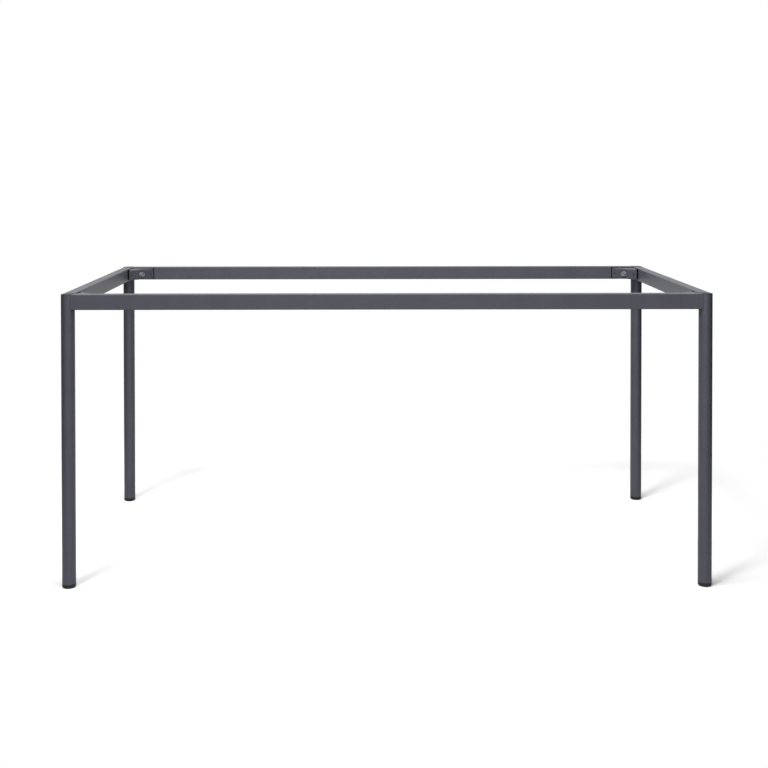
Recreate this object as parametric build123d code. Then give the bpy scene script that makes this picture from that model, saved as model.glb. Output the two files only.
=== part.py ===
from build123d import *
import os
from math import sqrt

# Table frame of steel tube: four round legs, each bolted into the corner of a ring
# of rectangular rails. Millimetres, Z up, origin on the floor below the middle.

# Overall sizes, taken over the outsides of the legs
frame_length = 1600.0
frame_depth = 800.0
frame_height = 722.0

# Leg tube and the moulded pieces in its two ends
leg_diameter = 33.7
leg_wall = 2.0
foot_height = 10.0
foot_rounding = 4.5
foot_stem_length = 24.0
cap_height = 1.2
cap_rounding = 0.6
cap_edge_step = 0.2
cap_stem_clearance = 1.5
stem_wall = 2.0
fin_depth = 1.2
fin_pitch = 3.0

# Rail tube, with the saddle cut in its ends to fit round the legs
rail_height = 38.0
rail_width = 27.0
rail_wall = 1.5
rail_corner = 2.0
rail_inset = 2.0
saddle_slack = 2.0
mitre_gap = 0.8
bolt_notch_clearance = 1.0

# Holes for the screws that hold a tabletop, and the wider ones below for the screwdriver
screw_hole = 5.5
access_hole = 12.0
screw_end_distance = 150.0

# Pressed corner bracket, a channel set across the inner corner of two rails, and the
# slots in the rails' inner walls that its four tabs hook into
bracket_reach = 70.0
bracket_height = 31.0
bracket_sheet = 2.5
bracket_bend = 1.5
bracket_nose = 12.0
bracket_standoff = 4.0
bracket_bolt_hole = 9.0
bracket_side_hole = 4.0
side_hole_distance = 34.0
tab_start = 28.0
tab_length = 16.0
tab_depth = 3.5
slot_length = 40.0
slot_clearance = 0.5
slot_corner_relief = 1.5

# Bolt, washers and the threaded insert set in the leg
bolt_diameter = 8.0
bolt_head_width = 13.0
bolt_head_height = 5.3
bolt_head_bevel = 0.8
bolt_tip_bevel = 1.0
bolt_engagement = 10.0
flat_washer_diameter = 16.0
flat_washer_thickness = 1.6
flat_washer_clearance = 0.2
spring_washer_diameter = 14.8
spring_washer_thickness = 2.0
spring_washer_clearance = 0.1
spring_washer_split = 1.4
spring_washer_slant = 30.0
insert_diameter = 11.0
insert_flange_diameter = 13.0
insert_flange_thickness = 1.0
insert_bulge_diameter = 12.6
insert_bulge_length = 3.0
insert_length = 15.0

# Sizes that follow from the ones above
leg_radius = leg_diameter / 2
bore_radius = leg_radius - leg_wall
leg_x = frame_length / 2 - leg_radius
leg_y = frame_depth / 2 - leg_radius
leg_length = frame_height - foot_height - cap_height
rail_line = leg_radius - rail_inset - rail_width / 2
inner_face = rail_inset + rail_width - leg_radius
rail_middle = frame_height - rail_height / 2
saddle_radius = leg_radius + saddle_slack
screw_x = frame_length / 2 - screw_end_distance
cap_stem_length = rail_height / 2 - cap_height - insert_bulge_diameter / 2 - cap_stem_clearance

# Distances from the leg's axis along the diagonal that the bolt lies on
corner_point = inner_face * sqrt(2)
web_face = corner_point + bracket_reach / sqrt(2)
bolt_seat = web_face + flat_washer_thickness + spring_washer_thickness
bolt_tip = leg_radius - bolt_engagement
bulge_seat = sqrt(bore_radius**2 - (insert_bulge_diameter / 2)**2)

# The corners, each with the turn about Z that brings the front left one's pieces to it
corners = {
    "front_left": (-leg_x, -leg_y, 0),
    "front_right": (leg_x, -leg_y, 90),
    "rear_right": (leg_x, leg_y, 180),
    "rear_left": (-leg_x, leg_y, 270),
}

# Corner pieces are drawn with the leg's axis at the origin and the rails along +X and +Y.
# This plane looks outwards along the diagonal between them, at the height of the bolt.
diagonal = Plane(origin=(0, 0, rail_middle), x_dir=(-1, 1, 0), z_dir=(1, 1, 0))
on_base = (Align.CENTER, Align.CENTER, Align.MIN)


def finned_stem(length):
    """The hollow stem of a moulded tube insert, upwards from z = 0, with ring fins."""
    core_radius = bore_radius - fin_depth
    outline = [(core_radius - stem_wall, 0), (core_radius, 0)]
    for number in range(int((length - fin_pitch / 2) // fin_pitch)):
        root = fin_pitch * (number + 0.5)
        outline.append((core_radius, root))
        outline.append((bore_radius, root))
        outline.append((core_radius, root + fin_pitch / 2))
    outline.append((core_radius, length))
    outline.append((core_radius - stem_wall, length))
    return revolve(Plane.XZ * Polygon(*outline, align=None), Axis.Z)


def leg():
    """The leg's tube, with the hole for the threaded insert facing the frame's middle."""
    tube = Cylinder(leg_radius, leg_length) - Cylinder(bore_radius, leg_length)
    tube = Pos(0, 0, foot_height + leg_length / 2) * tube
    hole = Cylinder(insert_diameter / 2, leg_radius + leg_wall, align=on_base)
    return tube - diagonal * hole


def foot():
    """The glide under a leg: a rounded head on the floor and a stem in the tube."""
    head = Cylinder(leg_radius, foot_height, align=on_base)
    head = fillet(head.edges().sort_by(Axis.Z)[0], foot_rounding)
    return head + Pos(0, 0, foot_height) * finned_stem(foot_stem_length)


def cap():
    """The plug that closes the top of a leg, level with the rails."""
    head = Cylinder(leg_radius - cap_edge_step, cap_height, align=(Align.CENTER, Align.CENTER, Align.MAX))
    head = fillet(head.edges().sort_by(Axis.Z)[-1], cap_rounding)
    stem = Pos(0, 0, -cap_height) * mirror(finned_stem(cap_stem_length), about=Plane.XY)
    return Pos(0, 0, frame_height) * (head + stem)


def insert():
    """The threaded insert: a flange outside the leg's wall and the set bulge inside it."""
    tail = leg_radius + insert_flange_thickness - insert_length
    bulge_start = bulge_seat - insert_bulge_length
    pieces = Part() + [
        Pos(0, 0, leg_radius) * Cylinder(insert_flange_diameter / 2, insert_flange_thickness, align=on_base),
        Pos(0, 0, tail) * Cylinder(insert_diameter / 2, leg_radius - tail, align=on_base),
        Pos(0, 0, bulge_start) * Cylinder(insert_bulge_diameter / 2, insert_bulge_length, align=on_base),
    ]
    thread = Pos(0, 0, tail) * Cylinder(bolt_diameter / 2, insert_length, align=on_base)
    return diagonal * (pieces - thread)


def bolt():
    """The hexagon bolt, its head towards the frame's middle."""
    hexagon = RegularPolygon(bolt_head_width / 2, 6, major_radius=False)
    head = extrude(hexagon, bolt_head_height)
    corner_radius = bolt_head_width / sqrt(3)
    rounded = Cylinder(corner_radius, bolt_head_height, align=on_base)
    rounded = chamfer(rounded.edges().sort_by(Axis.Z)[-1], bolt_head_bevel / 2, bolt_head_bevel)
    shank_length = bolt_seat - bolt_tip
    shank = Cylinder(bolt_diameter / 2, shank_length, align=on_base)
    shank = chamfer(shank.edges().sort_by(Axis.Z)[0], bolt_tip_bevel)
    return diagonal * (Pos(0, 0, bolt_seat) * (head & rounded) + Pos(0, 0, bolt_tip) * shank)


def flat_washer():
    """The flat washer on the bracket's web."""
    disc = Cylinder(flat_washer_diameter / 2, flat_washer_thickness, align=on_base)
    hole = Cylinder(bolt_diameter / 2 + flat_washer_clearance, flat_washer_thickness, align=on_base)
    return diagonal * (Pos(0, 0, web_face) * (disc - hole))


def spring_washer():
    """The split spring washer between the flat washer and the bolt's head, pressed flat."""
    ring = Cylinder(spring_washer_diameter / 2, spring_washer_thickness, align=on_base)
    ring -= Cylinder(bolt_diameter / 2 + spring_washer_clearance, spring_washer_thickness, align=on_base)
    slit = Box(spring_washer_diameter, spring_washer_split, 2 * spring_washer_thickness)
    slit = Rot(spring_washer_slant, 0, 0) * slit
    slit = Pos(spring_washer_diameter / 2, 0, spring_washer_thickness / 2) * slit
    return diagonal * (Pos(0, 0, web_face + flat_washer_thickness) * (ring - slit))


def bracket():
    """The corner bracket: a folded channel cut to fit between the rails' inner faces.

    The bolt pulls it towards the leg. Its flanges then bear on the rails, and their tabs
    on the ends of the slots, so that both rails are drawn against the leg.
    """
    depth = web_face - corner_point
    outer = Pos(web_face - depth / 2, 0) * Rectangle(depth, bracket_height)
    outer = fillet(outer.vertices().group_by(Axis.X)[-1], bracket_sheet + bracket_bend)
    inner = Pos(web_face - bracket_sheet - depth / 2, 0) * Rectangle(depth, bracket_height - 2 * bracket_sheet)
    inner = fillet(inner.vertices().group_by(Axis.X)[-1], bracket_bend)
    across = Plane(origin=(0, 0, rail_middle), x_dir=(1, 1, 0), z_dir=(1, -1, 0))
    channel = extrude(across * (outer - inner), depth, both=True)

    tab_end = tab_start + tab_length
    half_outline = [
        (bracket_nose, 0),
        (tab_start, 0),
        (tab_start, -tab_depth),
        (tab_end, -tab_depth),
        (tab_end, bracket_standoff),
        (bracket_reach - bracket_standoff, bracket_standoff),
    ]
    outline = half_outline + [(y, x) for x, y in reversed(half_outline)]
    plan = Polygon(*[(inner_face + x, inner_face + y) for x, y in outline], align=None)
    folded = channel & Pos(0, 0, rail_middle - rail_height / 2) * extrude(plan, rail_height)

    drill_length = web_face + bracket_sheet
    drill = Cylinder(bracket_bolt_hole / 2, drill_length, align=on_base)
    side_drill = Cylinder(bracket_side_hole / 2, drill_length, align=on_base)
    for side in (-1, 1):
        drill += Pos(side * side_hole_distance, 0, 0) * side_drill
    return folded - diagonal * drill


def bracket_slot():
    """The cutter for a slot in a rail's inner wall, from the rail's inner corner along +X."""
    height = bracket_height + 2 * slot_clearance
    outline = Rectangle(slot_length, height)
    for corner in outline.vertices():
        outline += Pos(corner.X, corner.Y) * Circle(slot_corner_relief)
    cutter = extrude(Plane.XZ * outline, rail_wall + tab_depth, both=True)
    return Pos(tab_start + slot_length / 2, 0, 0) * cutter


def rail(span, screw_places):
    """A rail along X between two leg axes, its inner face on the +Y side."""
    tube = RectangleRounded(rail_width, rail_height, rail_corner)
    tube -= RectangleRounded(rail_width - 2 * rail_wall, rail_height - 2 * rail_wall, rail_corner - rail_wall)
    body = extrude(Plane.YZ * tube, span / 2, both=True)
    saddle = Pos(-saddle_slack, 0, 0) * Cylinder(saddle_radius, 2 * rail_height)
    mitre = Polygon((0, -mitre_gap), (rail_width + mitre_gap, rail_width), (0, rail_width), align=None)
    mitre = extrude(mitre, rail_height, both=True)
    notch = Cylinder(insert_flange_diameter / 2 + bolt_notch_clearance, 2 * rail_width, align=on_base)
    notch = Pos(0, 0, -rail_middle) * (diagonal * notch)
    end_cut = Pos(-span / 2, rail_line, 0) * (saddle + mitre + notch)
    end_cut += Pos(inner_face - span / 2, rail_width / 2, 0) * bracket_slot()
    body -= end_cut
    body -= mirror(end_cut, about=Plane.YZ)
    for place in screw_places:
        body -= Pos(place, 0, rail_height / 2) * Cylinder(screw_hole / 2, rail_height)
        body -= Pos(place, 0, -rail_height / 2) * Cylinder(access_hole / 2, rail_height)
    return body


corner_pieces = {
    "leg": leg(),
    "foot": foot(),
    "cap": cap(),
    "insert": insert(),
    "bracket": bracket(),
    "flat_washer": flat_washer(),
    "spring_washer": spring_washer(),
    "bolt": bolt(),
}
long_rail = rail(2 * leg_x, (-screw_x, 0, screw_x))
short_rail = rail(2 * leg_y, (0,))

nodes = {
    "rail_front": Pos(0, -leg_y - rail_line, rail_middle) * long_rail,
    "rail_rear": Pos(0, leg_y + rail_line, rail_middle) * Rot(0, 0, 180) * long_rail,
    "rail_left": Pos(-leg_x - rail_line, 0, rail_middle) * Rot(0, 0, -90) * short_rail,
    "rail_right": Pos(leg_x + rail_line, 0, rail_middle) * Rot(0, 0, 90) * short_rail,
}
for corner, (x, y, turn) in corners.items():
    for piece, shape in corner_pieces.items():
        nodes[f"{piece}_{corner}"] = Pos(x, y, 0) * Rot(0, 0, turn) * shape

os.makedirs("parts", exist_ok=True)
for name, shape in nodes.items():
    export_step(shape, f"parts/{name}.step")
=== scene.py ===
import math

import bmesh
import bpy
from mathutils import Matrix, Vector


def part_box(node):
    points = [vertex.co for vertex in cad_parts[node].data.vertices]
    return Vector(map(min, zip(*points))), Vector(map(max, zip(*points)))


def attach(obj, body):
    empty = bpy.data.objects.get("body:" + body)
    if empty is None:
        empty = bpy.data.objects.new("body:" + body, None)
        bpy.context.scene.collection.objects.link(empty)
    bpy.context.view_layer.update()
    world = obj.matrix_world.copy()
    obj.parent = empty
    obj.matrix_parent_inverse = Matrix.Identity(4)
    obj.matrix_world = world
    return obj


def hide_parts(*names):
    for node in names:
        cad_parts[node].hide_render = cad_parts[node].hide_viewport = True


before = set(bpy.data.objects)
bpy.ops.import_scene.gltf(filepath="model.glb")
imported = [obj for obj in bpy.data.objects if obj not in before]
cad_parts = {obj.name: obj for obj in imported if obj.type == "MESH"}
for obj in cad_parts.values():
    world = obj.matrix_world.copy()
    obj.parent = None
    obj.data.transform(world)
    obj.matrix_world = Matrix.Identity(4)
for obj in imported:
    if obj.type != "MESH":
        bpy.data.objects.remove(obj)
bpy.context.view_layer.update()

# Lengths are in metres, in the frame's own axes: +X to the right, +Y to the back, +Z up.

CORNERS = ("front_left", "front_right", "rear_right", "rear_left")

# Points nearer to each other than this are one point
SAME_POINT = 1e-6

# The bolt's thread, M8 coarse, a hair inside the insert's bore
THREAD_PITCH = 0.00125
THREAD_OUTER_RADIUS = 0.00396
THREAD_DEPTH = 0.00076
THREAD_LEAD_IN = 0.0006
THREAD_SIDES = 24

# Noise hardly leaves this range, which is spread to the whole range from 0 to 1
NOISE_LOW = 0.28
NOISE_HIGH = 0.72

# A Mix node gives its colours the same labels as its plain numbers, so they go by their places
MIX_COLOUR_LOW = 6
MIX_COLOUR_HIGH = 7
MIX_COLOUR_RESULT = 2

# The camera: where it stands, how it is turned in radians, its sensor and lens in millimetres
CAMERA_PLACE = Vector((-0.0517, -3.3561, 1.0456))
CAMERA_TURN_RIGHT = 0.00597
CAMERA_LOOK_DOWN = 0.01512
CAMERA_ROLL = 0.00084
CAMERA_SENSOR = 36.0
CAMERA_LENS = 56.84

# The picture's side, and the point in it that the camera is aimed at
PICTURE_SIDE_PX = 768
PICTURE_CENTRE_PX = (373.3, 180.1)

# White paper on the floor: its rear is seen lighter than it is, and its edges fade into the air
PAPER_HALF_WIDTH = 1.36
PAPER_FRONT = -1.5
PAPER_BACK = 1.8
PAPER_WHITE = 0.74
REAR_LIFT_STARTS = -0.6
REAR_LIFT_FULL = -0.1
REAR_LIFT = 0.24
EDGE_FADE_STARTS = 0.7

# The bright sheet behind the frame, the black flags beside it and the air all round
BACKDROP_HALF_WIDTH = 2.0
BACKDROP_HEIGHT = 2.6
BACKDROP_GLOW = 1.12
FLAG_DISTANCE = 1.75
FLAG_FRONT = -1.9
FLAG_HEIGHT = 1.9
FLAG_GREY = 0.004
AIR_DIM = 0.03
AIR_WHITE = 1.0

# The soft boxes: name, place, the point that it faces, width, height and power in watts
SOFT_BOXES = (
    ("front_wall", (0, -4.8, 1.25), (0, 0, 1.25), 4.4, 2.5, 74.0),
    ("key_box", (0, -3.3, 1.9), (0, 0, 0.5), 1.2, 0.8, 20.0),
    ("overhead_box", (-0.25, -0.9, 3.0), (0, 0, 0.3), 2.0, 1.0, 92.0),
    ("left_box", (-1.9, -3.0, 6.5), (0, 0, 0), 1.0, 1.0, 230.0),
)


# Node trees

def add_node(tree, kind, **settings):
    """A new node in the tree; settings name its own properties, or its inputs by their labels."""
    node = tree.nodes.new(kind)
    for name, value in settings.items():
        if hasattr(node, name):
            setattr(node, name, value)
        else:
            node.inputs[name.replace("_", " ")].default_value = value
    return node


def worked_out(tree, operation, first, second):
    """What the operation makes of two values, each a plain number or another node's output."""
    node = add_node(tree, "ShaderNodeMath", operation=operation)
    for socket, value in zip(node.inputs, (first, second)):
        if isinstance(value, (int, float)):
            socket.default_value = value
        else:
            tree.links.new(value, socket)
    return node.outputs["Value"]


def new_shader_group(name, inputs, outputs):
    """An empty shader group with these sockets, and its two end nodes."""
    tree = bpy.data.node_groups.new(name, "ShaderNodeTree")
    for label, kind, value in inputs:
        socket = tree.interface.new_socket(label, in_out="INPUT", socket_type=kind)
        if value is not None:
            socket.default_value = value
    for label, kind in outputs:
        tree.interface.new_socket(label, in_out="OUTPUT", socket_type=kind)
    return tree, add_node(tree, "NodeGroupInput"), add_node(tree, "NodeGroupOutput")


def fine_grain_group():
    """Grain and mottling of a finish: two fields from 0 to 1, at sizes given in metres."""
    tree, given, made = new_shader_group(
        "fine_grain",
        [
            ("Place", "NodeSocketVector", None),
            ("Grain Size", "NodeSocketFloat", 0.001),
            ("Mottle Size", "NodeSocketFloat", 0.05),
        ],
        [("Grain", "NodeSocketFloat"), ("Mottle", "NodeSocketFloat")],
    )
    for size, field, detail in (("Grain Size", "Grain", 2.0), ("Mottle Size", "Mottle", 4.0)):
        noise = add_node(tree, "ShaderNodeTexNoise", Detail=detail, Roughness=0.55)
        tree.links.new(given.outputs["Place"], noise.inputs["Vector"])
        tree.links.new(worked_out(tree, "DIVIDE", 1.0, given.outputs[size]), noise.inputs["Scale"])
        spread = add_node(tree, "ShaderNodeMapRange", From_Min=NOISE_LOW, From_Max=NOISE_HIGH)
        tree.links.new(noise.outputs["Fac"], spread.inputs["Value"])
        tree.links.new(spread.outputs["Result"], made.inputs[field])
    return tree


def pits_group():
    """Scattered small pits: 1 at the middle of each, 0 between them."""
    tree, given, made = new_shader_group(
        "scattered_pits",
        [
            ("Place", "NodeSocketVector", None),
            ("Spacing", "NodeSocketFloat", 0.004),
            ("Pit Share", "NodeSocketFloat", 0.12),
        ],
        [("Pits", "NodeSocketFloat")],
    )
    cells = add_node(tree, "ShaderNodeTexVoronoi")
    tree.links.new(given.outputs["Place"], cells.inputs["Vector"])
    tree.links.new(worked_out(tree, "DIVIDE", 1.0, given.outputs["Spacing"]), cells.inputs["Scale"])
    fade = add_node(tree, "ShaderNodeMapRange", From_Min=0.0, To_Min=1.0, To_Max=0.0)
    fade.interpolation_type = "SMOOTHSTEP"
    tree.links.new(cells.outputs["Distance"], fade.inputs["Value"])
    tree.links.new(given.outputs["Pit Share"], fade.inputs["From Max"])
    tree.links.new(fade.outputs["Result"], made.inputs["Pits"])
    return tree


# Finishes

GRAIN = fine_grain_group()
PITS = pits_group()


def new_material(name, **constants):
    """A material with one Principled shader whose plain sockets are set, and its Object coordinates."""
    material = bpy.data.materials.new(name)
    material.use_nodes = True
    tree = material.node_tree
    tree.nodes.clear()
    shader = add_node(tree, "ShaderNodeBsdfPrincipled", **constants)
    output = add_node(tree, "ShaderNodeOutputMaterial")
    tree.links.new(shader.outputs["BSDF"], output.inputs["Surface"])
    place = add_node(tree, "ShaderNodeTexCoord").outputs["Object"]
    return material, tree, shader, place


def placed_group(tree, group, place, **sizes):
    """The group in a material's tree, reading that place, with its own sizes."""
    node = add_node(tree, "ShaderNodeGroup")
    node.node_tree = group
    for label, value in sizes.items():
        node.inputs[label.replace("_", " ")].default_value = value
    tree.links.new(place, node.inputs["Place"])
    return node


def vary_colour(tree, shader, field, low, high):
    """Base Color runs from low to high with the field."""
    mix = add_node(tree, "ShaderNodeMix", data_type="RGBA")
    mix.inputs[MIX_COLOUR_LOW].default_value = (*low, 1.0)
    mix.inputs[MIX_COLOUR_HIGH].default_value = (*high, 1.0)
    tree.links.new(field, mix.inputs["Factor"])
    tree.links.new(mix.outputs[MIX_COLOUR_RESULT], shader.inputs["Base Color"])


def vary_roughness(tree, shader, field, low, high):
    """Roughness runs from low to high with the field."""
    span = add_node(tree, "ShaderNodeMapRange", To_Min=low, To_Max=high)
    tree.links.new(field, span.inputs["Value"])
    tree.links.new(span.outputs["Result"], shader.inputs["Roughness"])


def raise_surface(tree, shader, field, height, strength):
    """The field lifts the surface by up to that height, or sinks it where the height is negative."""
    bump = add_node(tree, "ShaderNodeBump", Strength=strength, Distance=height)
    tree.links.new(field, bump.inputs["Height"])
    tree.links.new(bump.outputs["Normal"], shader.inputs["Normal"])


def powder_coat():
    """Baked powder coat in graphite grey: a soft gloss over a faint orange peel."""
    material, tree, shader, place = new_material(
        "graphite_powder_coat", Metallic=0.0, Specular_IOR_Level=0.2)
    grain = placed_group(tree, GRAIN, place, Grain_Size=0.0011, Mottle_Size=0.06)
    vary_colour(tree, shader, grain.outputs["Mottle"],
                low=(0.0468, 0.0477, 0.0598), high=(0.0535, 0.0545, 0.0682))
    vary_roughness(tree, shader, grain.outputs["Grain"], low=0.40, high=0.50)
    raise_surface(tree, shader, grain.outputs["Grain"], height=0.00004, strength=0.5)
    return material


def moulded_plastic():
    """Black polyethylene from a spark-eroded mould: matt, with fine pits."""
    material, tree, shader, place = new_material(
        "black_moulded_plastic", Metallic=0.0, Specular_IOR_Level=0.2)
    grain = placed_group(tree, GRAIN, place, Grain_Size=0.0006, Mottle_Size=0.008)
    pits = placed_group(tree, PITS, place, Spacing=0.0009, Pit_Share=0.35)
    vary_colour(tree, shader, grain.outputs["Mottle"],
                low=(0.006, 0.006, 0.007), high=(0.011, 0.011, 0.012))
    vary_roughness(tree, shader, grain.outputs["Grain"], low=0.48, high=0.62)
    raise_surface(tree, shader, pits.outputs["Pits"], height=-0.00003, strength=0.6)
    return material


def zinc_plate():
    """Zinc on small steel parts: a clouded grey metal with the odd small pit."""
    material, tree, shader, place = new_material("bright_zinc_plate", Metallic=1.0)
    grain = placed_group(tree, GRAIN, place, Grain_Size=0.0004, Mottle_Size=0.003)
    pits = placed_group(tree, PITS, place, Spacing=0.0016, Pit_Share=0.2)
    vary_colour(tree, shader, grain.outputs["Mottle"],
                low=(0.295, 0.3, 0.323), high=(0.405, 0.412, 0.423))
    vary_roughness(tree, shader, grain.outputs["Mottle"], low=0.36, high=0.5)
    raise_surface(tree, shader, pits.outputs["Pits"], height=-0.00002, strength=0.5)
    return material


def finish_frame(finish_of):
    """Gives each of the frame's nodes the finish of its kind, which its name starts with."""
    for name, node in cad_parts.items():
        for kind, finish in finish_of.items():
            if name.startswith(kind):
                node.data.materials.clear()
                node.data.materials.append(finish)


# Geometry trees

def new_geometry_tree(name, inputs):
    """An empty geometry tree with these number inputs, and its two end nodes."""
    tree = bpy.data.node_groups.new(name, "GeometryNodeTree")
    tree.interface.new_socket("Geometry", in_out="INPUT", socket_type="NodeSocketGeometry")
    for label, kind in inputs:
        tree.interface.new_socket(label, in_out="INPUT", socket_type=kind)
    tree.interface.new_socket("Geometry", in_out="OUTPUT", socket_type="NodeSocketGeometry")
    return tree, add_node(tree, "NodeGroupInput"), add_node(tree, "NodeGroupOutput")


def end_tree(tree, geometry, finish, made):
    """Closes a geometry tree: instances made real, then the finish set."""
    real = add_node(tree, "GeometryNodeRealizeInstances")
    painted = add_node(tree, "GeometryNodeSetMaterial")
    painted.inputs["Material"].default_value = finish
    tree.links.new(geometry, real.inputs["Geometry"])
    tree.links.new(real.outputs["Geometry"], painted.inputs["Geometry"])
    tree.links.new(painted.outputs["Geometry"], made.inputs["Geometry"])


def run_tree(tree, start, **values):
    """The mesh that the tree makes from the start mesh with these input values."""
    carrier = bpy.data.objects.new("carrier", start)
    bpy.context.scene.collection.objects.link(carrier)
    modifier = carrier.modifiers.new("made", "NODES")
    modifier.node_group = tree
    for item in tree.interface.items_tree:
        label = item.name.replace(" ", "_")
        if item.in_out == "INPUT" and label in values:
            modifier[item.identifier] = values[label]
    shown = carrier.evaluated_get(bpy.context.evaluated_depsgraph_get())
    mesh = bpy.data.meshes.new_from_object(shown)
    carrier.modifiers.clear()
    bpy.data.objects.remove(carrier)
    return mesh


def moved_up(tree, geometry, height):
    """The geometry, higher by that height."""
    way = add_node(tree, "ShaderNodeCombineXYZ")
    tree.links.new(height, way.inputs["Z"])
    moved = add_node(tree, "GeometryNodeTransform")
    tree.links.new(geometry, moved.inputs["Geometry"])
    tree.links.new(way.outputs["Vector"], moved.inputs["Translation"])
    return moved.outputs["Geometry"]


def round_bar(tree, sides, bottom_radius, top_radius, height):
    """A closed cylinder that stands on z = 0, tapered where its two radii differ."""
    cone = add_node(tree, "GeometryNodeMeshCone")
    tree.links.new(sides, cone.inputs["Vertices"])
    tree.links.new(bottom_radius, cone.inputs["Radius Bottom"])
    tree.links.new(top_radius, cone.inputs["Radius Top"])
    tree.links.new(height, cone.inputs["Depth"])
    return cone.outputs["Mesh"]


def wound_ridge(tree, sides, core, depth, pitch, height):
    """A ridge, three-sided in section, wound round the core from z = 0 up to that height."""
    helix = add_node(tree, "GeometryNodeCurveSpiral")
    tree.links.new(sides, helix.inputs["Resolution"])
    tree.links.new(worked_out(tree, "DIVIDE", height, pitch), helix.inputs["Rotations"])
    tree.links.new(core, helix.inputs["Start Radius"])
    tree.links.new(core, helix.inputs["End Radius"])
    tree.links.new(height, helix.inputs["Height"])
    upright = add_node(tree, "GeometryNodeSetCurveNormal", mode="Z_UP")
    tree.links.new(helix.outputs["Curve"], upright.inputs["Curve"])

    triangle = add_node(tree, "GeometryNodeCurvePrimitiveCircle", Resolution=3, Radius=1.0)
    size = add_node(tree, "ShaderNodeCombineXYZ", Z=1.0)
    tree.links.new(depth, size.inputs["X"])
    tree.links.new(worked_out(tree, "MULTIPLY", pitch, 0.5), size.inputs["Y"])
    section = add_node(tree, "GeometryNodeTransform")
    tree.links.new(triangle.outputs["Curve"], section.inputs["Geometry"])
    tree.links.new(size.outputs["Vector"], section.inputs["Scale"])

    ridge = add_node(tree, "GeometryNodeCurveToMesh", Fill_Caps=True)
    tree.links.new(upright.outputs["Curve"], ridge.inputs["Curve"])
    tree.links.new(section.outputs["Geometry"], ridge.inputs["Profile Curve"])
    return ridge.outputs["Mesh"]


def thread_tree(finish):
    """A screw's shank along +Z: a tapered tip, a core and a ridge wound round it."""
    tree, given, made = new_geometry_tree("screw_thread", [
        ("Length", "NodeSocketFloat"), ("Pitch", "NodeSocketFloat"),
        ("Core Radius", "NodeSocketFloat"), ("Ridge Depth", "NodeSocketFloat"),
        ("Lead In", "NodeSocketFloat"), ("Sides", "NodeSocketInt"),
    ])
    length, pitch = given.outputs["Length"], given.outputs["Pitch"]
    core, depth = given.outputs["Core Radius"], given.outputs["Ridge Depth"]
    lead, sides = given.outputs["Lead In"], given.outputs["Sides"]

    tip_radius = worked_out(tree, "SUBTRACT", core, lead)
    tip = round_bar(tree, sides, tip_radius, core, lead)
    shank = round_bar(tree, sides, core, core, worked_out(tree, "SUBTRACT", length, lead))

    # The ridge is nearly a pitch wide, so its line keeps half a pitch from the tip and from the head
    wound_height = worked_out(tree, "SUBTRACT", length, worked_out(tree, "ADD", lead, pitch))
    ridge = wound_ridge(tree, sides, core, depth, pitch, wound_height)
    ridge_start = worked_out(tree, "ADD", lead, worked_out(tree, "MULTIPLY", pitch, 0.5))

    joined = add_node(tree, "GeometryNodeJoinGeometry")
    for part in (tip, moved_up(tree, shank, lead), moved_up(tree, ridge, ridge_start)):
        tree.links.new(part, joined.inputs["Geometry"])
    end_tree(tree, joined.outputs["Geometry"], finish, made)
    return tree


# Bolts

def distances_along(node, start, direction):
    """How far each point of the node's mesh lies from the start along the direction."""
    return [(vertex.co - start).dot(direction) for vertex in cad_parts[node].data.vertices]


def bolt_line(corner):
    """A bolt's line: its point on the leg's axis, its direction inwards, and how far from there
    the bolt's tip and the seat of its head lie."""
    leg_low, leg_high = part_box(f"leg_{corner}")
    rail_low, rail_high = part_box("rail_front")
    start = (leg_low + leg_high) / 2
    start.z = (rail_low.z + rail_high.z) / 2
    inwards = Vector((-math.copysign(1, start.x), -math.copysign(1, start.y), 0)).normalized()
    tip = min(distances_along(f"bolt_{corner}", start, inwards))
    seat = max(distances_along(f"spring_washer_{corner}", start, inwards))
    return start, inwards, tip, seat


def bolt_head(corner, start, inwards, seat):
    """The head's faces from the frame's bolt, as a mesh of its own."""
    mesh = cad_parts[f"bolt_{corner}"].data.copy()
    shaped = bmesh.new()
    shaped.from_mesh(mesh)
    bmesh.ops.remove_doubles(shaped, verts=shaped.verts, dist=SAME_POINT)
    shank = [face for face in shaped.faces
             if (face.calc_center_median() - start).dot(inwards) < seat - SAME_POINT]
    bmesh.ops.delete(shaped, geom=shank, context="FACES")
    shaped.to_mesh(mesh)
    shaped.free()
    return mesh


def threaded_shank(finish):
    """The shank that all four bolts share, along +Z with its tip at the origin."""
    _, _, tip, seat = bolt_line(CORNERS[0])
    return run_tree(
        thread_tree(finish), bpy.data.meshes.new("nothing"),
        Length=seat - tip, Pitch=THREAD_PITCH, Core_Radius=THREAD_OUTER_RADIUS - THREAD_DEPTH,
        Ridge_Depth=THREAD_DEPTH, Lead_In=THREAD_LEAD_IN, Sides=THREAD_SIDES,
    )


def threaded_bolt(corner, finish, shank):
    """The bolt with its real thread, in place of the frame's plain one."""
    start, inwards, tip, seat = bolt_line(corner)
    head = bolt_head(corner, start, inwards, seat)
    turned = inwards.to_track_quat("Z", "Y").to_matrix().to_4x4()
    thread = shank.copy()
    thread.transform(Matrix.Translation(start + inwards * tip) @ turned)
    shaped = bmesh.new()
    shaped.from_mesh(head)
    shaped.from_mesh(thread)
    mesh = bpy.data.meshes.new(f"threaded_bolt_{corner}")
    shaped.to_mesh(mesh)
    shaped.free()
    mesh.materials.append(finish)
    bolt = bpy.data.objects.new(f"threaded_bolt_{corner}", mesh)
    bpy.context.scene.collection.objects.link(bolt)
    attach(bolt, "root")
    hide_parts(f"bolt_{corner}")


# The stage

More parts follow.
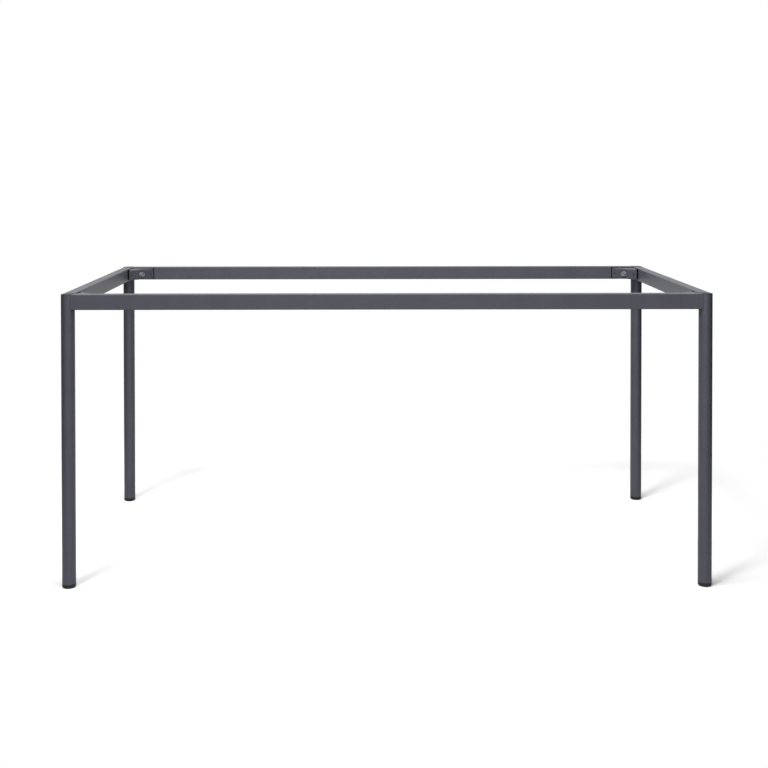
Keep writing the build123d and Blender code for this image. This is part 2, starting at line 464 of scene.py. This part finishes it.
def stage_material(name):
    """An empty material for the stage, its tree and its output's socket."""
    material = bpy.data.materials.new(name)
    material.use_nodes = True
    tree = material.node_tree
    tree.nodes.clear()
    return material, tree, add_node(tree, "ShaderNodeOutputMaterial").inputs["Surface"]


def grey(value):
    """A colour with no hue."""
    return value, value, value, 1


def flat_sheet(name, corners, material):
    """A flat sheet with these corners."""
    mesh = bpy.data.meshes.new(name)
    mesh.from_pydata(corners, [], [(0, 1, 2, 3)])
    mesh.materials.append(material)
    sheet = bpy.data.objects.new(name, mesh)
    bpy.context.scene.collection.objects.link(sheet)
    return sheet


def looking_rays(tree):
    """1 for what is seen, straight, in gloss or through glass, and 0 for light on the frame."""
    path = add_node(tree, "ShaderNodeLightPath")
    gloss_or_glass = worked_out(
        tree, "MAXIMUM", path.outputs["Is Glossy Ray"], path.outputs["Is Transmission Ray"])
    return worked_out(tree, "MAXIMUM", path.outputs["Is Camera Ray"], gloss_or_glass)


def seen_only(tree, value):
    """The value for what is seen, and nothing for the light that falls on the frame."""
    return worked_out(tree, "MULTIPLY", value, looking_rays(tree))


def lit_paper(tree, place):
    """White paper, to which a little glow is added over its rear, for what is seen only."""
    split = add_node(tree, "ShaderNodeSeparateXYZ")
    tree.links.new(place, split.inputs["Vector"])
    rear = add_node(
        tree, "ShaderNodeMapRange", From_Min=REAR_LIFT_STARTS, From_Max=REAR_LIFT_FULL, To_Max=REAR_LIFT)
    tree.links.new(split.outputs["Y"], rear.inputs["Value"])
    glow = add_node(tree, "ShaderNodeEmission")
    tree.links.new(seen_only(tree, rear.outputs["Result"]), glow.inputs["Strength"])
    paper = add_node(tree, "ShaderNodeBsdfDiffuse", Color=grey(PAPER_WHITE))
    lifted = add_node(tree, "ShaderNodeAddShader")
    tree.links.new(paper.outputs["BSDF"], lifted.inputs[0])
    tree.links.new(glow.outputs["Emission"], lifted.inputs[1])
    return lifted.outputs["Shader"]


def paper_edge(tree, place):
    """0 over the middle of the paper, up to 1 at its edges, in an oval that touches them."""
    half_depth = (PAPER_BACK - PAPER_FRONT) / 2
    middle = (PAPER_BACK + PAPER_FRONT) / 2
    share = add_node(tree, "ShaderNodeVectorMath", operation="MULTIPLY_ADD")
    share.inputs[1].default_value = (1 / PAPER_HALF_WIDTH, 1 / half_depth, 0)
    share.inputs[2].default_value = (0, -middle / half_depth, 0)
    tree.links.new(place, share.inputs[0])
    outwards = add_node(tree, "ShaderNodeVectorMath", operation="LENGTH")
    tree.links.new(share.outputs["Vector"], outwards.inputs[0])
    edge = add_node(tree, "ShaderNodeMapRange", From_Min=EDGE_FADE_STARTS)
    tree.links.new(outwards.outputs["Value"], edge.inputs["Value"])
    return edge.outputs["Result"]


def studio_floor():
    """White paper on the floor, whose edges fade into the white air for what is seen."""
    material, tree, surface = stage_material("white_floor")
    place = add_node(tree, "ShaderNodeTexCoord").outputs["Object"]
    air = add_node(tree, "ShaderNodeEmission", Strength=AIR_WHITE)
    faded = add_node(tree, "ShaderNodeMixShader")
    tree.links.new(seen_only(tree, paper_edge(tree, place)), faded.inputs["Fac"])
    tree.links.new(lit_paper(tree, place), faded.inputs[1])
    tree.links.new(air.outputs["Emission"], faded.inputs[2])
    tree.links.new(faded.outputs["Shader"], surface)
    flat_sheet("floor", [
        (-PAPER_HALF_WIDTH, PAPER_FRONT, 0),
        (PAPER_HALF_WIDTH, PAPER_FRONT, 0),
        (PAPER_HALF_WIDTH, PAPER_BACK, 0),
        (-PAPER_HALF_WIDTH, PAPER_BACK, 0),
    ], material)


def studio_backdrop():
    """The sheet that hangs behind: it lights the frame's back, and a camera looks through it."""
    material, tree, surface = stage_material("white_backdrop")
    glow = add_node(tree, "ShaderNodeEmission", Strength=BACKDROP_GLOW)
    tree.links.new(glow.outputs["Emission"], surface)
    backdrop = flat_sheet("backdrop", [
        (-BACKDROP_HALF_WIDTH, PAPER_BACK, 0),
        (BACKDROP_HALF_WIDTH, PAPER_BACK, 0),
        (BACKDROP_HALF_WIDTH, PAPER_BACK, BACKDROP_HEIGHT),
        (-BACKDROP_HALF_WIDTH, PAPER_BACK, BACKDROP_HEIGHT),
    ], material)
    backdrop.visible_camera = False


def black_flags():
    """Black cloth on both sides, for the legs' outer sides to reflect. A camera looks through it."""
    material, tree, surface = stage_material("black_cloth")
    cloth = add_node(tree, "ShaderNodeBsdfDiffuse", Color=grey(FLAG_GREY))
    tree.links.new(cloth.outputs["BSDF"], surface)
    for side, x in (("left", -FLAG_DISTANCE), ("right", FLAG_DISTANCE)):
        flag = flat_sheet(f"flag_{side}", [
            (x, FLAG_FRONT, 0),
            (x, PAPER_BACK, 0),
            (x, PAPER_BACK, FLAG_HEIGHT),
            (x, FLAG_FRONT, FLAG_HEIGHT),
        ], material)
        flag.visible_camera = False


def studio_air():
    """Dim light all round on the frame, and white for what is seen."""
    world = bpy.data.worlds.new("studio")
    bpy.context.scene.world = world
    world.use_nodes = True
    tree = world.node_tree
    tree.nodes.clear()
    dim = add_node(tree, "ShaderNodeBackground", Color=grey(1), Strength=AIR_DIM)
    white = add_node(tree, "ShaderNodeBackground", Color=grey(1), Strength=AIR_WHITE)
    mix = add_node(tree, "ShaderNodeMixShader")
    output = add_node(tree, "ShaderNodeOutputWorld")
    tree.links.new(looking_rays(tree), mix.inputs["Fac"])
    tree.links.new(dim.outputs["Background"], mix.inputs[1])
    tree.links.new(white.outputs["Background"], mix.inputs[2])
    tree.links.new(mix.outputs["Shader"], output.inputs["Surface"])


def soft_box(name, place, target, width, height, power):
    """A rectangular soft light that faces the target."""
    lamp = bpy.data.lights.new(name, "AREA")
    lamp.shape = "RECTANGLE"
    lamp.size = width
    lamp.size_y = height
    lamp.energy = power
    box = bpy.data.objects.new(name, lamp)
    box.location = place
    box.rotation_mode = "QUATERNION"
    box.rotation_quaternion = (Vector(target) - Vector(place)).to_track_quat("-Z", "Y")
    bpy.context.scene.collection.objects.link(box)


def photo_camera():
    """The camera of the picture: nearly level, with its lens shifted down towards the legs."""
    right = Vector((math.cos(CAMERA_TURN_RIGHT), -math.sin(CAMERA_TURN_RIGHT), 0))
    ahead = Vector((
        math.sin(CAMERA_TURN_RIGHT) * math.cos(CAMERA_LOOK_DOWN),
        math.cos(CAMERA_TURN_RIGHT) * math.cos(CAMERA_LOOK_DOWN),
        -math.sin(CAMERA_LOOK_DOWN),
    ))
    down = ahead.cross(right)
    rolled_right = right * math.cos(CAMERA_ROLL) + down * math.sin(CAMERA_ROLL)
    rolled_down = down * math.cos(CAMERA_ROLL) - right * math.sin(CAMERA_ROLL)
    lens = bpy.data.cameras.new("camera")
    lens.sensor_width = CAMERA_SENSOR
    lens.lens = CAMERA_LENS
    lens.shift_x = (PICTURE_SIDE_PX / 2 - PICTURE_CENTRE_PX[0]) / PICTURE_SIDE_PX
    lens.shift_y = (PICTURE_CENTRE_PX[1] - PICTURE_SIDE_PX / 2) / PICTURE_SIDE_PX
    camera = bpy.data.objects.new("camera", lens)
    turn = Matrix((rolled_right, -rolled_down, -ahead)).transposed()
    camera.matrix_world = Matrix.Translation(CAMERA_PLACE) @ turn.to_4x4()
    bpy.context.scene.collection.objects.link(camera)
    bpy.context.scene.camera = camera


# The build

coat = powder_coat()
plastic = moulded_plastic()
zinc = zinc_plate()
finish_frame({
    "rail": coat, "leg": coat, "bracket": coat, "foot": plastic, "cap": plastic,
    "insert": zinc, "flat_washer": zinc, "spring_washer": zinc, "bolt": zinc,
})

shank = threaded_shank(zinc)
for corner in CORNERS:
    threaded_bolt(corner, zinc, shank)

studio_floor()
studio_backdrop()
black_flags()
studio_air()
for settings in SOFT_BOXES:
    soft_box(*settings)
photo_camera()
bpy.context.scene.view_settings.view_transform = "Standard"
